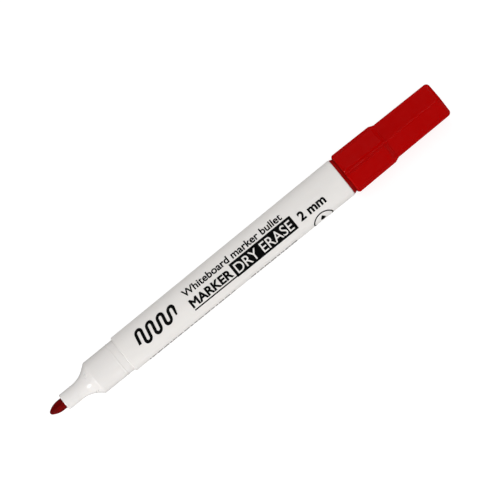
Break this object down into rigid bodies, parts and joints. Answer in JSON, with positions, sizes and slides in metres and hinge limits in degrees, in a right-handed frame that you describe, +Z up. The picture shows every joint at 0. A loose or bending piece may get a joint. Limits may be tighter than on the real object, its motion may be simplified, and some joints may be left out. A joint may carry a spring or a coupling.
{
  "type": "whiteboard marker",
  "caption": "Whiteboard marker with a bullet nib in a stepped snout, a slim round tapered barrel and a six-sided pull-off cap posted on its rear plug.",
  "frame": {"origin": "on the marker's axis, halfway between the nib's tip and the cap's closed end", "axes": "+X along the marker from the nib to the cap's end, +Z up with the cap resting on one of its six flats, +Y to the side"},
  "size_m": [0.1502, 0.0146, 0.0138],
  "materials": {
    "nib_fibre": "matte",
    "holder_plastic": "satin",
    "barrel_plastic": "satin",
    "reservoir_fibre": "matte",
    "wrap_film": "gloss",
    "plug_plastic": "satin",
    "liner_plastic": "satin",
    "cap_plastic": "gloss"
  },
  "bodies": {
    "pen": {"nib": "nib_fibre", "nib_holder": "holder_plastic", "barrel": "barrel_plastic", "ink_reservoir": "reservoir_fibre", "reservoir_film": "wrap_film", "end_plug": "plug_plastic"},
    "liner": {"cap_liner": "liner_plastic"},
    "cap": {"cap_shell": "cap_plastic"}
  },
  "joints": [
    {"name": "cap_pull", "type": "slide", "parent": "pen", "child": "liner", "axis": [1, 0, 0], "range_m": [0, 0.025]},
    {"name": "cap_turn", "type": "hinge", "parent": "liner", "child": "cap", "pos_m": [0.03859, 0, 0], "axis": [1, 0, 0], "continuous": true}
  ]
}
